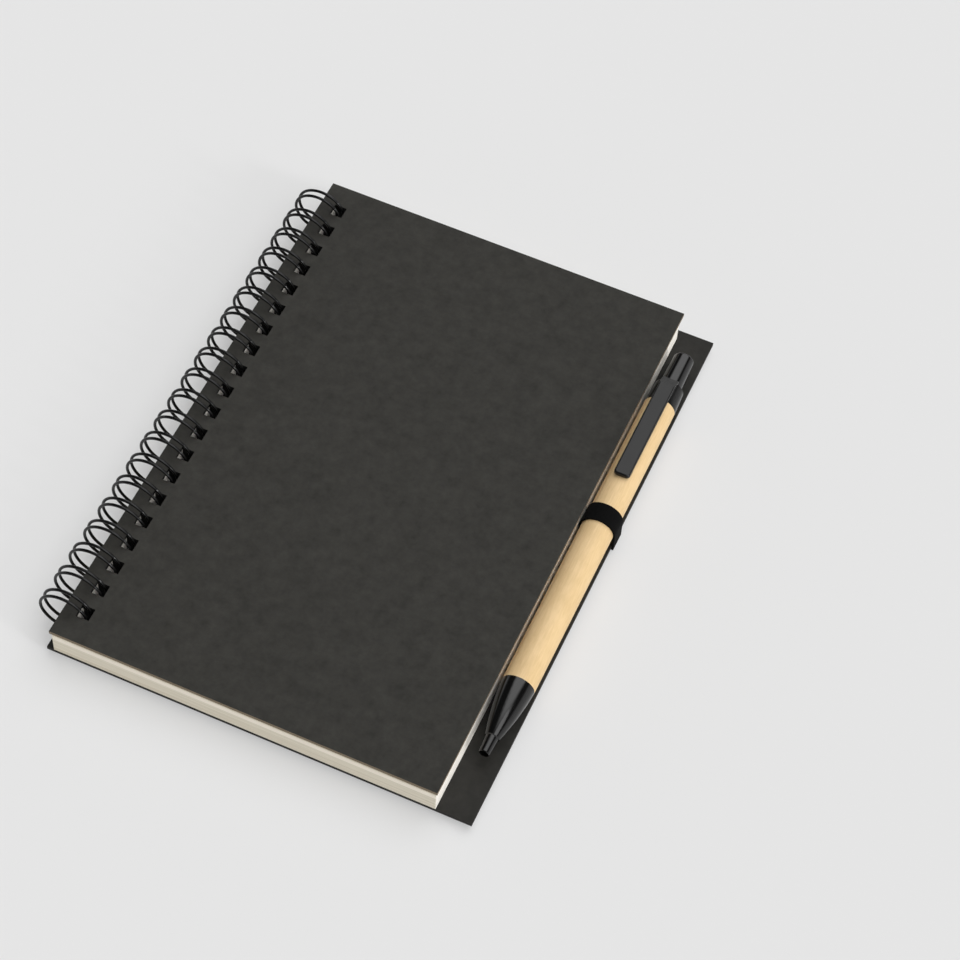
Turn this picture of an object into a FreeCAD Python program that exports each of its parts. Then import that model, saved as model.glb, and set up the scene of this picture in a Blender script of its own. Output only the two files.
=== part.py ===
import FreeCAD
import Part
import Sketcher
import math
import os
import re

# A notebook between two black boards, bound along its left side with a twin-loop
# wire, with a retractable ball pen held in an elastic loop on the strip of back
# board that stands out past the pages.
#
# Frame: +X runs from the spine to the fore edge, +Y from the foot of the page to
# its head, +Z up. The origin is under the middle of the whole object, at the
# height of the lowest point of the wire.

os.makedirs("parts", exist_ok=True)
doc = FreeCAD.newDocument("SpiralNotebook")
V = FreeCAD.Vector

# Driving sizes in millimetres, angles in degrees
SIZES = {
    # Boards and pages, measured from the front board's spine edge and foot
    "cover_length": 180.0,
    "cover_width": 118.0,
    "cover_thickness": 1.2,
    "back_width": 129.85,
    "back_shift": 1.3,
    "back_overhang": 0.3,
    "page_length": 177.0,
    "page_width": 116.8,
    "page_depth": 7.5,
    "page_inset": 1.0,
    "page_overhang": 0.3,
    # Twin-loop wire: angles run from the fore edge side, upwards
    "loop_count": 20,
    "loop_pitch": 25.4 / 3,
    "wire_diameter": 0.9,
    "ring_radius": 7.6,
    "leg_gap": 2.4,
    "axis_below_cover_top": 3.1,
    "root_angle": 256.0,
    "tip_angle": -79.0,
    # Square holes for the wire
    "hole_side": 4.0,
    "cover_hole_from_spine": 6.3,
    "page_hole_from_spine": 5.3,
    "back_hole_from_spine": 5.3,
    # Place of the whole in the frame
    "spine_x": -60.575,
    "foot_y": -89.85,
    # Pen: its place, then radii and heights along its axis from the nose
    "pen_from_spine": 123.65,
    "pen_tip_from_foot": 18.2,
    "pen_clearance": 0.05,
    "barrel_radius": 4.9,
    "barrel_bore": 3.9,
    "barrel_start": 23.4,
    "barrel_end": 128.3,
    # Nose cone
    "nose_mouth": 1.25,
    "mouth_depth": 8.0,
    "refill_room": 1.75,
    "spring_seat": 12.0,
    "spring_bore": 2.65,
    "spigot_radius": 3.85,
    "spigot_length": 8.0,
    "snout_end_radius": 1.62,
    "snout_radius": 1.85,
    "snout_length": 5.4,
    "snout_edge": 0.2,
    "cone_end_radius": 2.2,
    "cone_round": 92.0,
    # Collar and clip
    "sleeve_start": 108.0,
    "sleeve_bore": 3.2,
    "collar_end": 136.5,
    "collar_end_radius": 4.55,
    "collar_bore": 3.95,
    "collar_floor": 1.2,
    "collar_band": 1.0,
    "collar_edge": 0.4,
    "collar_lip": 1.0,
    "clip_start": 97.0,
    "clip_width": 5.0,
    "clip_top": 6.6,
    "clip_under": 5.4,
    "clip_root": 0.05,
    "clip_foot": 1.4,
    "clip_slope": 3.7,
    "clip_drop": 1.8,
    "clip_corner": 1.2,
    "clip_edge": 0.6,
    "bump_start": 1.5,
    "bump_length": 2.0,
    "bump_round": 1.45,
    # Button
    "button_end": 148.6,
    "button_radius": 3.45,
    "button_end_radius": 3.2,
    "button_round": 0.7,
    "button_crown": 2.0,
    "button_room": 0.1,
    "button_foot": 124.0,
    "button_skirt": 2.9,
    "button_bore": 2.05,
    "flange_radius": 3.85,
    "flange_height": 1.2,
    # Cam rotor, refill and its return spring
    "rotor_foot": 118.4,
    "rotor_head": 126.5,
    "rotor_radius": 2.9,
    "rotor_neck": 1.95,
    "rotor_bore": 1.65,
    "refill_foot": 13.0,
    "refill_head": 121.4,
    "refill_radius": 1.6,
    "refill_bore": 1.15,
    "crimp_start": 33.0,
    "crimp_length": 1.0,
    "crimp_radius": 2.3,
    "tip_end": 1.8,
    "tip_radius": 1.1,
    "tip_taper": 2.6,
    "tip_hold": 4.0,
    "ball_radius": 0.35,
    "spring_mean_radius": 2.05,
    "spring_wire_radius": 0.2,
    "spring_turns": 9,
    "small_gap": 0.05,
    # Elastic loop round the pen
    "loop_start": 80.2,
    "loop_width": 6.1,
    "loop_thickness": 0.6,
    "loop_clearance": 0.05,
    "slit_room": 0.1,
    "slit_overcut": 1.0,
}
sheet = doc.addObject("Spreadsheet::Sheet", "Sizes")
for row, (alias, number) in enumerate(SIZES.items(), start=1):
    sheet.set("A%d" % row, alias)
    sheet.set("B%d" % row, repr(float(number)))
    sheet.setAlias("B%d" % row, alias)
doc.recompute()


def bound(formula):
    """A formula in which every word that is a size refers to its cell."""
    def reference(word):
        return "Sizes." + word.group() if word.group() in SIZES else word.group()
    return re.sub(r"[a-z_]+", reference, str(formula))


def value(formula):
    """The number that a formula on the sizes comes to."""
    return float(sheet.evalExpression(bound(formula)))


def bind(feature, **formulas):
    """Ties a feature's sizes to formulas on the sheet."""
    for name, formula in formulas.items():
        setattr(feature, name, value(formula))
        feature.setExpression(name, bound(formula))


# Levels and places that several pieces share
FIRST_LOOP = "(cover_length - (loop_count - 1) * loop_pitch) / 2"
BOARD_TO_PEN_AXIS = "cover_thickness + barrel_radius + pen_clearance"
WIRE_RADIUS = value("wire_diameter / 2")
ROOT_RADIUS = value("(loop_pitch - leg_gap) / 2")
TIP_RADIUS = value("leg_gap / 2")
ROOT_ANGLE = math.radians(value("root_angle"))
TIP_ANGLE = math.radians(value("tip_angle"))


def seam_depth():
    """How far the lowest bend of the wire lies under the ring's centre."""
    reach = math.hypot(value("ring_radius"), ROOT_RADIUS)
    apex = ROOT_ANGLE + math.atan2(ROOT_RADIUS, value("ring_radius"))
    if apex > math.radians(270):
        return WIRE_RADIUS - reach * math.sin(apex)
    return WIRE_RADIUS + reach


SPINE_X = value("spine_x")
FOOT_Y = value("foot_y")
AXIS_Z = seam_depth()
PAGES_TOP = AXIS_Z + value("axis_below_cover_top - cover_thickness")
PAGES_BOTTOM = PAGES_TOP - value("page_depth")
BACK_BOTTOM = PAGES_BOTTOM - value("cover_thickness")
PEN_AXIS_Z = BACK_BOTTOM + value(BOARD_TO_PEN_AXIS)

# The pen's own frame: Z along the pen from the nose to the button, X up, towards its
# clip. It lies along the fore edge.
PEN = FreeCAD.Placement(
    V(SPINE_X + value("pen_from_spine"), FOOT_Y + value("pen_tip_from_foot"), PEN_AXIS_Z),
    FreeCAD.Rotation(V(0, 0, 1), V(1, 0, 0), V(0, 1, 0), "ZXY"))


def new_body(name, placement):
    body = doc.addObject("PartDesign::Body", name)
    body.Label = name
    body.Placement = placement
    return body


def origin_part(body, role):
    """One of a body's own planes or axes."""
    return [part for part in body.Origin.OriginFeatures if part.Role == role][0]


def outward_arc(start, end, radius):
    """The arc from start to end whose middle stands out to the right of the way there."""
    chord = end - start
    to_left = V(-chord.y, chord.x, 0).normalize()
    centre = (start + end) * 0.5 + to_left * math.sqrt(radius ** 2 - (chord.Length / 2) ** 2)
    from_angle = math.atan2(start.y - centre.y, start.x - centre.x)
    to_angle = math.atan2(end.y - centre.y, end.x - centre.x)
    if to_angle < from_angle:
        to_angle += 2 * math.pi
    return Part.ArcOfCircle(Part.Circle(centre, V(0, 0, 1), radius), from_angle, to_angle)


def closed_sketch(body, name, role, corners):
    """A closed sketch on one of the body's planes, its corners in anticlockwise order. A
    corner is its two distances from the origin, and a radius if an arc leads to it."""
    sketch = body.newObject("Sketcher::SketchObject", name)
    sketch.AttachmentSupport = (origin_part(body, role), [""])
    sketch.MapMode = "FlatFace"
    doc.recompute()
    spots = [V(value(corner[0]), value(corner[1]), 0) for corner in corners]
    for side, corner in enumerate(corners):
        start, end = spots[side - 1], spots[side]
        if len(corner) == 3:
            sketch.addGeometry(outward_arc(start, end, value(corner[2])), False)
        else:
            sketch.addGeometry(Part.LineSegment(start, end), False)
    for side in range(len(corners)):
        following = (side + 1) % len(corners)
        sketch.addConstraint(Sketcher.Constraint("Coincident", side, 2, following, 1))
    for side, corner in enumerate(corners):
        hold_corner(sketch, side, "DistanceX", -2, corner[0])
        hold_corner(sketch, side, "DistanceY", -1, corner[1])
        if len(corner) == 3:
            radius = sketch.addConstraint(
                Sketcher.Constraint("Radius", side, value(corner[2])))
            sketch.setExpression("Constraints[%d]" % radius, bound(corner[2]))
    sketch.Visibility = False
    doc.recompute()
    return sketch


def hold_corner(sketch, side, kind, axis, formula):
    """Puts the end of a side on an axis, or at its distance from the origin."""
    if abs(value(formula)) < 1e-9:
        sketch.addConstraint(Sketcher.Constraint("PointOnObject", side, 2, axis))
        return
    index = sketch.addConstraint(Sketcher.Constraint(kind, -1, 1, side, 2, value(formula)))
    sketch.setExpression("Constraints[%d]" % index, bound(formula))


def pad(body, sketch, length, midplane=False):
    feature = body.newObject("PartDesign::Pad", sketch.Name + "_pad")
    feature.Profile = sketch
    feature.Midplane = midplane
    bind(feature, Length=length)
    doc.recompute()
    return feature


def rectangle(left, foot, right, head):
    return [(left, foot), (right, foot), (right, head), (left, head)]


def wire_holes(body, middle, first, depth):
    """A square hole for each loop of the wire, in a row along the spine."""
    corners = rectangle("%s - hole_side / 2" % middle, "%s - hole_side / 2" % first,
                        "%s + hole_side / 2" % middle, "%s + hole_side / 2" % first)
    before = body.Shape.Volume
    pocket = body.newObject("PartDesign::Pocket", body.Name + "_pocket")
    pocket.Profile = closed_sketch(body, body.Name + "_hole", "XY_Plane", corners)
    pocket.Reversed = True
    bind(pocket, Length=depth)
    doc.recompute()
    row = body.newObject("PartDesign::LinearPattern", body.Name + "_hole_row")
    row.Originals = [pocket]
    row.Direction = (origin_part(body, "Y_Axis"), [""])
    row.Occurrences = int(value("loop_count"))
    bind(row, Length="(loop_count - 1) * loop_pitch")
    body.Tip = row
    doc.recompute()
    removed = before - body.Shape.Volume
    expected = value("loop_count * hole_side * hole_side") * value(depth)
    if abs(removed - expected) > 1.0:
        raise RuntimeError("%s: holes took %.1f, not %.1f" % (body.Name, removed, expected))


def board(name, corner, width, length, depth, hole_middle, first_hole):
    """A flat rectangular piece with a row of holes, standing on its lower left corner."""
    body = new_body(name, FreeCAD.Placement(corner, FreeCAD.Rotation()))
    outline = closed_sketch(body, name + "_outline", "XY_Plane",
                            rectangle(0, 0, width, length))
    pad(body, outline, depth)
    wire_holes(body, hole_middle, first_hole, depth)
    return body


def turned(name, profile):
    """A piece of the pen turned about its axis, from corners of (radius, height)."""
    body = new_body(name, PEN)
    revolution = body.newObject("PartDesign::Revolution", name + "_turned")
    sketch = closed_sketch(body, name + "_profile", "XZ_Plane", profile)
    revolution.Profile = sketch
    revolution.ReferenceAxis = (sketch, ["V_Axis"])
    revolution.Angle = 360.0
    body.Tip = revolution
    doc.recompute()
    return body


# Boards and pages
front = board("front_cover", V(SPINE_X, FOOT_Y, PAGES_TOP), "cover_width", "cover_length",
              "cover_thickness", "cover_hole_from_spine", FIRST_LOOP)
pages = board("page_block",
              V(SPINE_X + value("page_inset"), FOOT_Y - value("page_overhang"), PAGES_BOTTOM),
              "page_width", "page_length", "page_depth", "page_hole_from_spine",
              FIRST_LOOP + " + page_overhang")
back_board = board("back_board", V(SPINE_X - value("back_shift"),
                                   FOOT_Y - value("back_overhang"), BACK_BOTTOM),
                   "back_width", "cover_length + back_overhang", "cover_thickness",
                   "back_hole_from_spine", FIRST_LOOP + " + back_overhang")

# The pen's shell
barrel = turned("pen_barrel", rectangle(
    "barrel_bore", "barrel_start", "barrel_radius", "barrel_end"))

nose_cone = turned("pen_nose_cone", [
    ("nose_mouth", 0),
    ("snout_end_radius - snout_edge", 0),
    ("snout_end_radius", "snout_edge"),
    ("snout_radius", "snout_length"),
    ("cone_end_radius", "snout_length + snout_edge"),
    ("barrel_radius", "barrel_start", "cone_round"),
    ("spigot_radius", "barrel_start"),
    ("spigot_radius", "barrel_start + spigot_length"),
    ("spring_bore", "barrel_start + spigot_length"),
    ("spring_bore", "spring_seat"),
    ("refill_room", "spring_seat"),
    ("refill_room", "mouth_depth"),
    ("nose_mouth", "mouth_depth")])

collar = turned("pen_clip_collar", [
    ("sleeve_bore", "sleeve_start"),
    ("spigot_radius", "sleeve_start"),
    ("spigot_radius", "barrel_end"),
    ("barrel_radius", "barrel_end"),
    ("barrel_radius", "barrel_end + collar_band"),
    ("collar_end_radius", "collar_end - collar_edge"),
    ("collar_end_radius - collar_edge", "collar_end"),
    ("button_radius + button_room", "collar_end"),
    ("button_radius + button_room", "collar_end - collar_lip"),
    ("collar_bore", "collar_end - collar_lip"),
    ("collar_bore", "barrel_end + collar_floor"),
    ("sleeve_bore", "barrel_end + collar_floor")])

# The clip grows out of the collar's side and ends in two rounded corners
clip_side = closed_sketch(collar, "clip_side", "XZ_Plane", [
    ("clip_top", "clip_start"),
    ("clip_top", "collar_end - clip_slope"),
    ("clip_top - clip_drop", "collar_end"),
    ("collar_bore + clip_root", "collar_end"),
    ("collar_bore + clip_root", "barrel_end + clip_foot"),
    ("clip_under", "barrel_end + clip_foot"),
    ("clip_under", "clip_start + bump_start + bump_length"),
    ("clip_under", "clip_start + bump_start", "bump_round"),
    ("clip_under", "clip_start")])
clip = pad(collar, clip_side, "clip_width", midplane=True)


def clip_end_corners():
    """The upright edges at the two corners of the clip's free end."""
    names = []
    for count, edge in enumerate(collar.Shape.Edges, start=1):
        ends = [PEN.inverse().multVec(vertex.Point) for vertex in edge.Vertexes]
        first, last = ends[0], ends[-1]
        at_the_end = all(abs(spot.z - value("clip_start")) < 1e-4 for spot in ends)
        if at_the_end and abs(first.y - last.y) < 1e-4:
            names.append("Edge%d" % count)
    return names


def clip_rim():
    """The edges round the clip's flat top, but not the one where it starts to slope."""
    names = []
    for count, edge in enumerate(collar.Shape.Edges, start=1):
        spots = [PEN.inverse().multVec(point) for point in edge.discretize(3)]
        on_top = all(abs(spot.x - value("clip_top")) < 1e-4 for spot in spots)
        across = all(abs(spot.z - value("collar_end - clip_slope")) < 1e-4 for spot in spots)
        if on_top and not across:
            names.append("Edge%d" % count)
    return names


corners = collar.newObject("PartDesign::Fillet", "clip_corners")
corners.Base = (clip, clip_end_corners())
bind(corners, Radius="clip_corner")
doc.recompute()
rim = collar.newObject("PartDesign::Fillet", "clip_rim")
rim.Base = (corners, clip_rim())
bind(rim, Radius="clip_edge")
doc.recompute()

# The pen's moving pieces
FLANGE_TOP = "collar_end - collar_lip - button_room"
button = turned("pen_button", [
    ("button_bore", "button_foot"),
    ("button_skirt", "button_foot"),
    ("button_skirt", FLANGE_TOP + " - flange_height"),
    ("flange_radius", FLANGE_TOP + " - flange_height"),
    ("flange_radius", FLANGE_TOP),
    ("button_radius", FLANGE_TOP),
    ("button_radius", "collar_end"),
    ("button_end_radius", "button_end - button_round"),
    ("button_end_radius - button_round", "button_end", "button_round"),
    (0, "button_end"),
    (0, "button_end - button_crown"),
    ("button_bore", "button_end - button_crown")])

rotor = turned("pen_cam_rotor", [
    ("rotor_bore", "rotor_foot"),
    ("rotor_radius", "rotor_foot"),
    ("rotor_radius", "button_foot - small_gap"),
    ("rotor_neck", "button_foot - small_gap"),
    ("rotor_neck", "rotor_head"),
    (0, "rotor_head"),
    (0, "refill_head + small_gap"),
    ("rotor_bore", "refill_head + small_gap")])

refill_tube = turned("refill_tube", [
    ("refill_bore", "refill_foot"),
    ("refill_radius", "refill_foot"),
    ("refill_radius", "crimp_start"),
    ("crimp_radius", "crimp_start"),
    ("crimp_radius", "crimp_start + crimp_length"),
    ("refill_radius", "crimp_start + crimp_length"),
    ("refill_radius", "refill_head"),
    ("refill_bore", "refill_head")])

refill_tip = turned("refill_tip", [
    (0, "tip_end"),
    ("ball_radius", "tip_end + ball_radius", "ball_radius"),
    ("tip_radius", "tip_end + tip_taper"),
    ("tip_radius", "refill_foot + tip_hold"),
    (0, "refill_foot + tip_hold")])


def tube_round(path, radius, tangent_joints):
    """A round wire of the given radius along a path."""
    first = path.Edges[0]
    section = Part.Circle(first.valueAt(first.FirstParameter),
                          first.tangentAt(first.FirstParameter), radius)
    return path.makePipeShell([Part.Wire(section.toShape())], True, tangent_joints)


def plain_feature(name, shape, placement):
    feature = doc.addObject("Part::Feature", name)
    feature.Label = name
    feature.Shape = shape
    feature.Placement = placement
    return feature


# The return spring is an open coil between the nose's inner seat and the refill's crimp
spring_low = value("spring_seat + spring_wire_radius + small_gap")
spring_high = value("crimp_start - spring_wire_radius - small_gap")
coil = Part.makeHelix((spring_high - spring_low) / value("spring_turns"),
                      spring_high - spring_low, value("spring_mean_radius"))
coil.translate(V(0, 0, spring_low))
coil.rotate(V(0, 0, 0), V(0, 0, 1), 90)
spring = plain_feature("pen_spring",
                       tube_round(Part.Wire(coil.Edges), value("spring_wire_radius"), True),
                       PEN)

# A band stands over the pen. Its inner leg goes down through a slit beside the pages, its
# outer leg round the fore edge, and they are glued together under the back board.
BAND = PEN.multiply(FreeCAD.Placement(V(0, 0, value("loop_start")), FreeCAD.Rotation()))
BAND_INSIDE = "barrel_radius + loop_clearance"
BAND_OUTSIDE = BAND_INSIDE + " + loop_thickness"


def arch(name, radius, drop):
    """A half round over straight legs that reach down by the drop."""
    legs = doc.addObject("Part::Box", name + "_legs")
    bind(legs, Length=drop, Width="2 * (%s)" % radius, Height="loop_width")
    legs.Placement = FreeCAD.Placement(V(-value(drop), -value(radius), 0), FreeCAD.Rotation())
    dome = doc.addObject("Part::Cylinder", name + "_dome")
    bind(dome, Radius=radius, Height="loop_width")
    joined = doc.addObject("Part::Fuse", name)
    joined.Base = legs
    joined.Tool = dome
    return joined


band = doc.addObject("Part::Cut", "pen_loop")
band.Base = arch("band_outside", BAND_OUTSIDE, BOARD_TO_PEN_AXIS + " + loop_thickness")
band.Tool = arch("band_inside", BAND_INSIDE, BOARD_TO_PEN_AXIS)
band.Placement = BAND

slit = doc.addObject("Part::Box", "slit")
bind(slit, Length="cover_thickness + 2 * slit_overcut",
     Width="loop_thickness + 2 * slit_room", Height="loop_width + 2 * slit_room")
slit.Placement = BAND.multiply(FreeCAD.Placement(
    V(-value(BOARD_TO_PEN_AXIS + " + slit_overcut"), -value(BAND_OUTSIDE + " + slit_room"),
      -value("slit_room")), FreeCAD.Rotation()))
back = doc.addObject("Part::Cut", "back_cover")
back.Base = back_board
back.Tool = slit
doc.recompute()


# The wire runs up and down through the holes: two legs round the ring for each loop, a
# tight bend at the loop's tip and a wide one at its root, on to the next loop.
def on_ring(angle, y):
    radius = value("ring_radius")
    return V(radius * math.cos(angle), y, radius * math.sin(angle))


def u_turn(angle, y_from, y_to, direction):
    """A half round bend in the plane that touches the ring at the given angle."""
    heading = V(-math.sin(angle), 0, math.cos(angle)) * direction
    middle = on_ring(angle, (y_from + y_to) / 2) + heading * (abs(y_to - y_from) / 2)
    return Part.Arc(on_ring(angle, y_from), middle, on_ring(angle, y_to)).toShape()


def loop_leg(y, start, end):
    halfway = (start + end) / 2
    return Part.Arc(on_ring(start, y), on_ring(halfway, y), on_ring(end, y)).toShape()


def wire_path():
    edges = []
    count = int(value("loop_count"))
    for loop in range(count):
        y = value(FIRST_LOOP) + loop * value("loop_pitch")
        lower, upper = y - TIP_RADIUS, y + TIP_RADIUS
        edges.append(loop_leg(lower, ROOT_ANGLE, TIP_ANGLE))
        edges.append(u_turn(TIP_ANGLE, lower, upper, -1))
        edges.append(loop_leg(upper, TIP_ANGLE, ROOT_ANGLE))
        if loop + 1 < count:
            edges.append(u_turn(ROOT_ANGLE, upper, upper + 2 * ROOT_RADIUS, 1))
    return Part.Wire(edges)


wire = wire_path()
wire_shape = tube_round(wire, WIRE_RADIUS, False)
wire_volume = math.pi * WIRE_RADIUS ** 2 * wire.Length
if abs(wire_shape.Volume / wire_volume - 1) > 0.01:
    raise RuntimeError("wire volume %.1f, not %.1f" % (wire_shape.Volume, wire_volume))
binding = plain_feature("wire_binding", wire_shape,
                        FreeCAD.Placement(V(SPINE_X, FOOT_Y, AXIS_Z), FreeCAD.Rotation()))

# Each piece is checked and written to its own file
doc.recompute()
for thing in doc.Objects:
    if "Invalid" in thing.State or "Error" in thing.State:
        raise RuntimeError("%s: %s" % (thing.Name, thing.State))
pieces = [front, pages, back, binding, band, barrel, nose_cone, collar, spring, button,
          rotor, refill_tube, refill_tip]
whole = FreeCAD.BoundBox()
for piece in pieces:
    shape = piece.Shape
    if shape.isNull() or not shape.isValid() or len(shape.Solids) != 1:
        raise RuntimeError("%s is not one sound solid" % piece.Label)
    whole.add(shape.optimalBoundingBox())
for piece in pieces:
    piece.Shape.exportStep("parts/%s.step" % piece.Label)
    print("%-18s volume %9.1f" % (piece.Label, piece.Shape.Volume))
print("whole: x %.2f..%.2f  y %.2f..%.2f  z %.2f..%.2f"
      % (whole.XMin, whole.XMax, whole.YMin, whole.YMax, whole.ZMin, whole.ZMax))
print("ring axis x %.3f z %.3f, back board's underside z %.3f, pen axis z %.3f"
      % (SPINE_X, AXIS_Z, BACK_BOTTOM, PEN_AXIS_Z))
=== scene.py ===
import math

import bpy
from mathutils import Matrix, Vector


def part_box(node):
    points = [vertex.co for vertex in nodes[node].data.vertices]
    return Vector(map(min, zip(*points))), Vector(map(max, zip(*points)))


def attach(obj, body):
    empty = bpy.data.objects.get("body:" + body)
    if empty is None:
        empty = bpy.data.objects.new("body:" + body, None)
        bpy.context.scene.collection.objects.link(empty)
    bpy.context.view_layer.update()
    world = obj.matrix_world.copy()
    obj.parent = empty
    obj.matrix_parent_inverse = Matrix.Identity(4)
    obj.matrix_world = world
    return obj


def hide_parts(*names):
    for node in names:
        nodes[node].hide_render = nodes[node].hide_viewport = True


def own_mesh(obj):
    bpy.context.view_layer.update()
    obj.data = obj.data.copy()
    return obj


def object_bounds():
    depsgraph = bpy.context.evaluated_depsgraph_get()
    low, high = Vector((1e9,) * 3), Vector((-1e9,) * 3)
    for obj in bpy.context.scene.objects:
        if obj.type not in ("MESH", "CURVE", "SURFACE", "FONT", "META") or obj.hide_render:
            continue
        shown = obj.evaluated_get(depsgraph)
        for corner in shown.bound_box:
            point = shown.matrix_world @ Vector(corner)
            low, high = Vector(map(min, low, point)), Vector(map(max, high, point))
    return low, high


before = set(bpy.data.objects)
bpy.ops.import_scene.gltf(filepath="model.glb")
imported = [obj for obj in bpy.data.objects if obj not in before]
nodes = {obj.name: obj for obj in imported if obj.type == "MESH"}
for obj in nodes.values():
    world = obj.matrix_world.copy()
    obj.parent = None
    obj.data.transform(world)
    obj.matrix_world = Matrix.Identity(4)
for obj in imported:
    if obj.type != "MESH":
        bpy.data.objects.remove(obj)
cad_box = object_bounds()

MM = 0.001

# Colours as linear values
BACKDROP = (0.775, 0.775, 0.775)
BOARD_DARK = (0.0172, 0.0164, 0.0138)
BOARD_LIGHT = (0.0385, 0.0370, 0.0322)
BOARD_CORE = (0.26, 0.21, 0.145)
BOARD_CORE_DARK = (0.19, 0.15, 0.10)
# Painted shade: the back board is the front board's material made darker, faces and cut edges
BACK_SHADED_DARK = (0.0112, 0.0106, 0.0090)
BACK_SHADED_LIGHT = (0.0232, 0.0221, 0.0190)
BACK_SHADED_CORE = (0.020, 0.017, 0.014)
BACK_SHADED_CORE_DARK = (0.010, 0.009, 0.008)
# Painted shade: near-black put on the walls of the holes
HOLE_PAINTED_SHADE = (0.004, 0.004, 0.004)
PAPER = (0.88, 0.82, 0.69)
PAPER_EDGE_DARK = (0.70, 0.63, 0.49)
# Painted highlight: a lighter paper along the top of the pages' cut edges and on the fore edge
PAPER_PAINTED_HIGHLIGHT = (0.97, 0.90, 0.78)
# Painted light: the fore edge of the pages is painted whiter
PAPER_FORE_PAINTED_LIGHT = (0.97, 0.955, 0.93)
KRAFT = (0.735, 0.53, 0.283)
KRAFT_DARK = (0.645, 0.452, 0.225)
GLOSS_BLACK = (0.003, 0.003, 0.003)
SATIN_BLACK = (0.005, 0.005, 0.005)
ELASTIC_BLACK = (0.002, 0.002, 0.002)
CLEAR_GREY = (0.72, 0.73, 0.75)
BRASS = (0.74, 0.62, 0.40)
STEEL = (0.60, 0.60, 0.61)

# How bright the studio is, where 1 shows a colour as it is written
WALLS = 0.05
OVERHEAD = 2.25
KEY = 1.43
GLINT = 0.9
FLOOR_GLOW = 0.45

# Where the light comes from, and its widths and heights in degrees
OVERHEAD_FROM = (0.08, 0.56, 0.83)
OVERHEAD_EDGE = 37
OVERHEAD_CORE = 22
KEY_FROM = (0.55, -0.25, 0.80)
KEY_WIDTH = 50
GLINT_FROM = (0.93, -0.17, 0.32)
GLINT_WIDTH = 9
HORIZON_TOP = 8
WALLS_FROM = 24

# From each piece's spine edge to the middle of its square holes, half a hole and a little
# more, and the ends of the piece that have no holes
# In this band the hole walls are painted near-black as shade.
COVER_HOLE = 6.3 * MM
PAGE_HOLE = 5.3 * MM
BACK_HOLE = 5.3 * MM
HOLE_REACH = 2.2 * MM
SOLID_END = 1 * MM

# How deep the painted highlight along the top of the pages' cut edges is
PAGE_HIGHLIGHT_DEPTH = 1.8 * MM


def new_material(name):
    """An empty node material: its tree, and its Principled shader."""
    material = bpy.data.materials.new(name)
    material.use_nodes = True
    tree = material.node_tree
    return material, tree, tree.nodes["Principled BSDF"]


def add(tree, kind, inputs=None, **settings):
    """A node with its settings, and its inputs either linked or set."""
    node = tree.nodes.new(kind)
    for key, setting in settings.items():
        setattr(node, key, setting)
    for key, source in (inputs or {}).items():
        if isinstance(source, bpy.types.NodeSocket):
            tree.links.new(source, node.inputs[key])
        else:
            node.inputs[key].default_value = source
    return node


def object_place(tree, scale=(1, 1, 1), turn=(0, 0, 0)):
    """The place on the object in metres, scaled and turned."""
    coordinates = add(tree, "ShaderNodeTexCoord")
    mapping = add(tree, "ShaderNodeMapping",
                  {"Vector": coordinates.outputs["Object"], "Scale": scale, "Rotation": turn})
    return mapping.outputs["Vector"]


def noise(tree, scale, detail=3.0, rough=0.5, turn=(0, 0, 0)):
    """Noise with so many cells to the metre, or as many as scale says along each axis."""
    if isinstance(scale, (int, float)):
        scale = (scale, scale, scale)
    return add(tree, "ShaderNodeTexNoise",
               {"Vector": object_place(tree, scale, turn), "Scale": 1.0,
                "Detail": detail, "Roughness": rough}).outputs["Fac"]


def ramp(tree, factor, stops):
    """A colour ramp from (position, colour) stops."""
    node = add(tree, "ShaderNodeValToRGB", {"Fac": factor})
    elements = node.color_ramp.elements
    while len(elements) < len(stops):
        elements.new(0.5)
    for element, (position, colour) in zip(elements, stops):
        element.position = position
        element.color = (*colour, 1)
    return node.outputs["Color"]


def grey(level):
    """A colour with no hue, as bright as the level."""
    return (level, level, level)


def mix(tree, factor, first, second):
    """The first colour where the factor is 0, and the second where it is 1."""
    node = add(tree, "ShaderNodeMix", data_type="RGBA")
    sockets = {"Factor": node.inputs[0], "A": node.inputs[6], "B": node.inputs[7]}
    for key, source in (("Factor", factor), ("A", first), ("B", second)):
        if isinstance(source, bpy.types.NodeSocket):
            tree.links.new(source, sockets[key])
        elif key == "Factor":
            sockets[key].default_value = source
        else:
            sockets[key].default_value = (*source, 1)
    return node.outputs[2]


def math_node(tree, operation, first, second=0.0, third=0.0):
    """One step of arithmetic on numbers or sockets."""
    return add(tree, "ShaderNodeMath", {0: first, 1: second, 2: third},
               operation=operation).outputs[0]


def bump(tree, height, distance, strength):
    """Small relief as deep as the distance."""
    return add(tree, "ShaderNodeBump",
               {"Height": height, "Distance": distance, "Strength": strength}).outputs["Normal"]


def side_faces(tree):
    """1 on faces that stand upright in the piece's own frame, 0 on flat ones."""
    coordinates = add(tree, "ShaderNodeTexCoord")
    split = add(tree, "ShaderNodeSeparateXYZ", {"Vector": coordinates.outputs["Normal"]})
    upright = math_node(tree, "ABSOLUTE", split.outputs["Z"])
    return math_node(tree, "LESS_THAN", upright, 0.5)


def painted_light_fore_faces(tree):
    """1 on faces that look away from the spine, where the paper is painted lighter."""
    coordinates = add(tree, "ShaderNodeTexCoord")
    split = add(tree, "ShaderNodeSeparateXYZ", {"Vector": coordinates.outputs["Normal"]})
    return math_node(tree, "GREATER_THAN", split.outputs["X"], 0.5)


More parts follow.
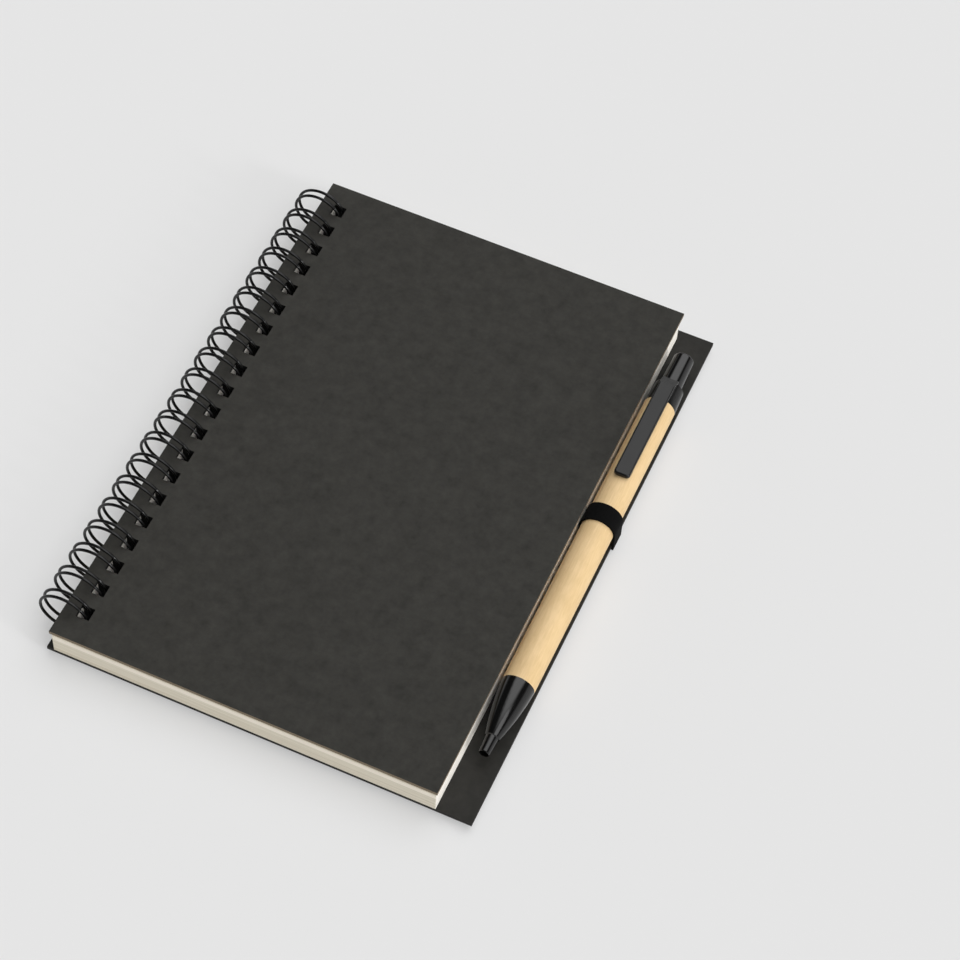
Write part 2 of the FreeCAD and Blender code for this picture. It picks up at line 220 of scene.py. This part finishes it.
def painted_shade_hole_walls(tree, node, from_spine):
    """1 in the row of holes along a piece's spine, 0 elsewhere: where hole walls get painted
    shade.
    """
    low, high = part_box(node)
    split = add(tree, "ShaderNodeSeparateXYZ", {"Vector": object_place(tree)})
    in_row = math_node(tree, "COMPARE", split.outputs["X"], low.x + from_spine, HOLE_REACH)
    in_length = math_node(tree, "COMPARE", split.outputs["Y"], (low.y + high.y) / 2,
                          (high.y - low.y) / 2 - SOLID_END)
    return math_node(tree, "MULTIPLY", in_row, in_length)


def board_material(name, node, from_spine, dark, light, core, core_dark):
    """Black paper on board: short surface fibres, its core at cut edges, painted shade in
    holes.
    """
    material, tree, shader = new_material(name)
    blotches = noise(tree, 300, detail=4, rough=0.65)
    flecks = noise(tree, (900, 380, 900), detail=3, rough=0.6, turn=(0, 0, 0.7))
    crossing = noise(tree, (420, 1100, 900), detail=3, rough=0.6, turn=(0, 0, 0.25))
    fibres = math_node(tree, "ADD", math_node(tree, "MULTIPLY", flecks, 0.5),
                       math_node(tree, "MULTIPLY", crossing, 0.5))
    mottle = math_node(tree, "ADD", math_node(tree, "MULTIPLY", blotches, 0.6),
                       math_node(tree, "MULTIPLY", fibres, 0.4))
    face = ramp(tree, mottle, [(0.32, dark), (0.68, light)])
    layers = noise(tree, (60, 60, 9000), detail=2)
    edge = mix(tree, layers, core, core_dark)
    # Painted shade: the hole walls near the spine are coloured near-black.
    edge = mix(tree, painted_shade_hole_walls(tree, node, from_spine), edge, HOLE_PAINTED_SHADE)
    tree.links.new(mix(tree, side_faces(tree), face, edge), shader.inputs["Base Color"])
    tree.links.new(ramp(tree, fibres, [(0.3, grey(0.62)), (0.7, grey(0.8))]),
                   shader.inputs["Roughness"])
    shader.inputs["Specular IOR Level"].default_value = 0.25
    tree.links.new(bump(tree, fibres, 0.05 * MM, 0.5), shader.inputs["Normal"])
    return material


def paper_material():
    """Uncoated cream leaves: faint tooth on the flat faces, the leaves' edges as lines."""
    material, tree, shader = new_material("page_paper")
    leaves = noise(tree, (9, 9, 7600), detail=2, rough=0.7)
    sections = noise(tree, (14, 14, 1100), detail=1)
    lines = math_node(tree, "ADD", math_node(tree, "MULTIPLY", leaves, 0.65),
                      math_node(tree, "MULTIPLY", sections, 0.35))
    edge = ramp(tree, lines, [(0.36, PAPER_EDGE_DARK), (0.62, PAPER)])
    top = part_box("page_block")[1].z
    height = add(tree, "ShaderNodeSeparateXYZ", {"Vector": object_place(tree)}).outputs["Z"]
    # Painted highlight: the top of the cut edges is lightened where light falls on it.
    painted_highlight_band = math_node(tree, "GREATER_THAN", height, top - PAGE_HIGHLIGHT_DEPTH)
    edge = mix(tree, painted_highlight_band, edge, PAPER_PAINTED_HIGHLIGHT)
    # Painted shade: the walls of the page holes are coloured near-black.
    edge = mix(tree, painted_shade_hole_walls(tree, "page_block", PAGE_HOLE), edge, HOLE_PAINTED_SHADE)
    # Painted light: the fore edge is given the whiter, lit-looking paper.
    edge = mix(tree, painted_light_fore_faces(tree), edge, mix(tree, lines, PAPER_PAINTED_HIGHLIGHT, PAPER_FORE_PAINTED_LIGHT))
    tooth = noise(tree, 2600, detail=3)
    sheet = mix(tree, tooth, PAPER, tuple(0.95 * level for level in PAPER))
    tree.links.new(mix(tree, side_faces(tree), sheet, edge), shader.inputs["Base Color"])
    shader.inputs["Roughness"].default_value = 0.85
    shader.inputs["Specular IOR Level"].default_value = 0.25
    relief = mix(tree, side_faces(tree), grey(0.5), leaves)
    tree.links.new(bump(tree, relief, 0.06 * MM, 0.6), shader.inputs["Normal"])
    return material


def wire_material():
    """Steel wire under a glossy black coat."""
    material, tree, shader = new_material("black_wire")
    shader.inputs["Base Color"].default_value = (*GLOSS_BLACK, 1)
    shader.inputs["Specular IOR Level"].default_value = 0.3
    wear = noise(tree, 900, detail=2)
    tree.links.new(ramp(tree, wear, [(0.3, grey(0.12)), (0.7, grey(0.22))]),
                   shader.inputs["Roughness"])
    tree.links.new(bump(tree, wear, 0.02 * MM, 0.2), shader.inputs["Normal"])
    return material


def plastic_material(name, colour, smoothest, roughest, shine):
    """Moulded black plastic with fine scuffs that only its gloss shows."""
    material, tree, shader = new_material(name)
    shader.inputs["Base Color"].default_value = (*colour, 1)
    shader.inputs["Specular IOR Level"].default_value = shine
    scuffs = noise(tree, (500, 160, 500), detail=2)
    tree.links.new(ramp(tree, scuffs, [(0.35, grey(smoothest)), (0.7, grey(roughest))]),
                   shader.inputs["Roughness"])
    tree.links.new(bump(tree, noise(tree, 3000, detail=2), 0.004 * MM, 0.1),
                   shader.inputs["Normal"])
    return material


def elastic_material():
    """Woven elastic: cords that run round the pen, crossed by fine stitches."""
    material, tree, shader = new_material("black_elastic")
    shader.inputs["Base Color"].default_value = (*ELASTIC_BLACK, 1)
    shader.inputs["Roughness"].default_value = 0.92
    shader.inputs["Specular IOR Level"].default_value = 0.1
    cords = add(tree, "ShaderNodeTexWave",
                {"Vector": object_place(tree), "Scale": 700.0, "Distortion": 0.3,
                 "Detail": 1.0}, bands_direction="Y").outputs["Fac"]
    stitches = noise(tree, (5200, 2600, 5200), detail=1)
    weave = math_node(tree, "ADD", math_node(tree, "MULTIPLY", cords, 0.7),
                      math_node(tree, "MULTIPLY", stitches, 0.3))
    tree.links.new(bump(tree, weave, 0.08 * MM, 0.7), shader.inputs["Normal"])
    return material


def kraft_material():
    """A wound paper tube: pale kraft with long faint fibres and a few flecks."""
    material, tree, shader = new_material("kraft_tube")
    fibres = noise(tree, (2400, 260, 2400), detail=4, rough=0.6)
    clouds = noise(tree, 140, detail=2)
    shade = math_node(tree, "ADD", math_node(tree, "MULTIPLY", fibres, 0.6),
                      math_node(tree, "MULTIPLY", clouds, 0.4))
    tree.links.new(ramp(tree, shade, [(0.34, KRAFT_DARK), (0.6, KRAFT)]),
                   shader.inputs["Base Color"])
    shader.inputs["Roughness"].default_value = 0.55
    shader.inputs["Specular IOR Level"].default_value = 0.4
    tree.links.new(bump(tree, fibres, 0.03 * MM, 0.4), shader.inputs["Normal"])
    return material


def metal_material(name, colour, roughness):
    """Bare metal with fine marks across its length."""
    material, tree, shader = new_material(name)
    shader.inputs["Base Color"].default_value = (*colour, 1)
    shader.inputs["Metallic"].default_value = 1.0
    turning = noise(tree, (400, 9000, 400), detail=1)
    tree.links.new(ramp(tree, turning, [(0.3, grey(roughness)), (0.7, grey(roughness + 0.12))]),
                   shader.inputs["Roughness"])
    return material


def milky_material():
    """Natural translucent plastic of the refill and its cam."""
    material, tree, shader = new_material("grey_plastic")
    cloud = noise(tree, 700, detail=2)
    tree.links.new(ramp(tree, cloud, [(0.3, CLEAR_GREY), (0.7, grey(0.8))]),
                   shader.inputs["Base Color"])
    shader.inputs["Roughness"].default_value = 0.35
    return material


def dress(material, *names):
    """Gives CAD nodes a better material in their own slots."""
    for name in names:
        for slot in nodes[name].material_slots:
            slot.material = material


def build_spring(material):
    """The return spring: a copy of the CAD coil, on its own mesh and carried by the pen."""
    mesh = nodes["pen_spring"].data.copy()
    mesh.materials.clear()
    mesh.materials.append(material)
    spring = bpy.data.objects.new("return_spring", mesh)
    bpy.context.scene.collection.objects.link(spring)
    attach(spring, "pen")
    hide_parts("pen_spring")
    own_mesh(spring)


def floor_material():
    """Plain pale floor that keeps the object's shadow, part of it lit evenly."""
    material, tree, shader = new_material("floor")
    shader.inputs["Base Color"].default_value = (*BACKDROP, 1)
    shader.inputs["Roughness"].default_value = 1.0
    shader.inputs["Specular IOR Level"].default_value = 0.0
    rays = add(tree, "ShaderNodeLightPath")
    seen = math_node(tree, "MAXIMUM", rays.outputs["Is Camera Ray"],
                     math_node(tree, "MAXIMUM", rays.outputs["Is Glossy Ray"],
                               rays.outputs["Is Transmission Ray"]))
    glow = add(tree, "ShaderNodeEmission")
    glow.inputs["Color"].default_value = (*BACKDROP, 1)
    both = add(tree, "ShaderNodeMixShader",
               {0: math_node(tree, "MULTIPLY", seen, FLOOR_GLOW),
                1: shader.outputs["BSDF"], 2: glow.outputs["Emission"]})
    tree.links.new(both.outputs[0], tree.nodes["Material Output"].inputs["Surface"])
    return material


def build_stage():
    """The floor, at the height of the object's lowest point."""
    low = cad_box[0]
    mesh = bpy.data.meshes.new("floor")
    half = 4.0
    corners = [(-half, -half, low[2]), (half, -half, low[2]),
               (half, half, low[2]), (-half, half, low[2])]
    mesh.from_pydata(corners, [], [(0, 1, 2, 3)])
    floor = bpy.data.objects.new("floor", mesh)
    bpy.context.scene.collection.objects.link(floor)
    floor.data.materials.append(floor_material())


def toward(tree, direction, aim, edge, core):
    """1 where a direction of the sky is near the aim, fading to 0 at the edge angle."""
    aim = Vector(aim).normalized()
    near = add(tree, "ShaderNodeVectorMath", {0: direction, 1: aim}, operation="DOT_PRODUCT")
    return add(tree, "ShaderNodeMapRange",
               {"Value": near.outputs["Value"],
                "From Min": math.cos(math.radians(edge)),
                "From Max": math.cos(math.radians(core))},
               interpolation_type="SMOOTHSTEP").outputs["Result"]


def lamp(name, energy, angle, direction):
    """A sun lamp that shines from a direction, as wide as the angle."""
    light = bpy.data.lights.new(name, "SUN")
    light.energy = energy
    light.angle = math.radians(angle)
    holder = bpy.data.objects.new(name, light)
    holder.rotation_euler = Vector(direction).to_track_quat("Z", "Y").to_euler()
    bpy.context.scene.collection.objects.link(holder)


def build_light():
    """A wide soft box overhead and behind, dark walls over a pale horizon, and a soft key
    with a small bright glint on the right."""
    world = bpy.data.worlds.new("studio")
    bpy.context.scene.world = world
    world.use_nodes = True
    tree = world.node_tree
    background = tree.nodes["Background"]
    direction = add(tree, "ShaderNodeTexCoord").outputs["Generated"]
    height = add(tree, "ShaderNodeSeparateXYZ", {"Vector": direction}).outputs["Z"]
    walls = add(tree, "ShaderNodeMapRange",
                {"Value": height, "From Min": math.sin(math.radians(HORIZON_TOP)),
                 "From Max": math.sin(math.radians(WALLS_FROM))},
                interpolation_type="SMOOTHSTEP").outputs["Result"]
    sky = mix(tree, walls, BACKDROP, grey(WALLS))
    overhead = toward(tree, direction, OVERHEAD_FROM, OVERHEAD_EDGE, OVERHEAD_CORE)
    tree.links.new(mix(tree, overhead, sky, grey(OVERHEAD)), background.inputs["Color"])
    lamp("key", KEY, KEY_WIDTH, KEY_FROM)
    lamp("glint", GLINT, GLINT_WIDTH, GLINT_FROM)


def build_camera():
    """The photograph's own view, solved from the corners of the boards and the rings."""
    data = bpy.data.cameras.new("camera")
    data.sensor_width = 36.0
    data.lens = 102.092
    data.shift_x = -0.02079
    data.shift_y = -0.03867
    data.clip_start = 0.01
    camera = bpy.data.objects.new("camera", data)
    camera.location = (0.18361, -0.40730, 0.66169)
    camera.rotation_euler = [math.radians(angle) for angle in (35.0487, -2.5949, 23.8110)]
    bpy.context.scene.collection.objects.link(camera)
    bpy.context.scene.camera = camera


dress(board_material("black_board", "front_cover", COVER_HOLE, BOARD_DARK, BOARD_LIGHT,
                     BOARD_CORE, BOARD_CORE_DARK), "front_cover")
# The back board is a darker copy of the same board, painted shade.
dress(board_material("back_board", "back_cover", BACK_HOLE, BACK_SHADED_DARK, BACK_SHADED_LIGHT,
                     BACK_SHADED_CORE, BACK_SHADED_CORE_DARK), "back_cover")
dress(paper_material(), "page_block")
dress(wire_material(), "wire_binding")
dress(elastic_material(), "pen_loop")
dress(kraft_material(), "pen_barrel")
dress(plastic_material("gloss_black", GLOSS_BLACK, 0.1, 0.15, shine=0.5),
      "pen_nose_cone", "pen_button")
dress(plastic_material("satin_black", SATIN_BLACK, 0.2, 0.26, shine=0.3), "pen_clip_collar")
dress(milky_material(), "pen_cam_rotor", "refill_tube")
dress(metal_material("tip_metal", BRASS, 0.22), "refill_tip")
build_spring(metal_material("spring_steel", STEEL, 0.25))

build_stage()
build_light()
build_camera()
bpy.context.scene.view_settings.view_transform = "Standard"
